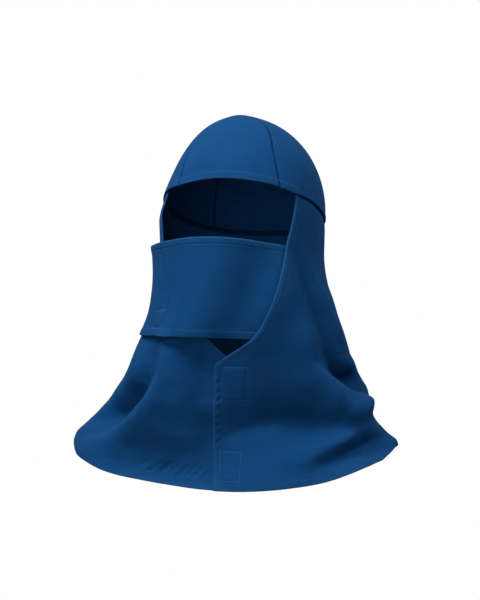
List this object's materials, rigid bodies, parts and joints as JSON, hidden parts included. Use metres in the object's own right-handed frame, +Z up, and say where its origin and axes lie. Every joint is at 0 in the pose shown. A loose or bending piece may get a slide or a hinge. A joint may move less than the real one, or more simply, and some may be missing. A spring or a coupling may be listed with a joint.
{
  "type": "protective hood",
  "caption": "Cloth work hood with a panelled skull cap, a face opening, a mask panel across nose and chin and a flared shoulder cape lapped down the front.",
  "frame": {"origin": "inside of the cap's top, where the hood rests on the wearer's head", "axes": "+Z up, -Y towards the face, +X towards the wearer's left"},
  "size_m": [0.3495, 0.2522, 0.3844],
  "materials": {
    "blue_cloth": "matt royal-blue cotton twill with turned and stitched hems",
    "hook_loop": "matt hook-and-loop tape in the cloth's blue"
  },
  "bodies": {
    "root": {"crown_front_panel": "blue_cloth", "crown_side_panel_left": "blue_cloth", "crown_side_panel_right": "blue_cloth", "crown_back_panel": "blue_cloth", "cape": "blue_cloth", "face_mask": "blue_cloth", "closure_tab_upper": "hook_loop", "closure_tab_lower": "hook_loop", "mask_tab": "hook_loop"}
  },
  "joints": []
}
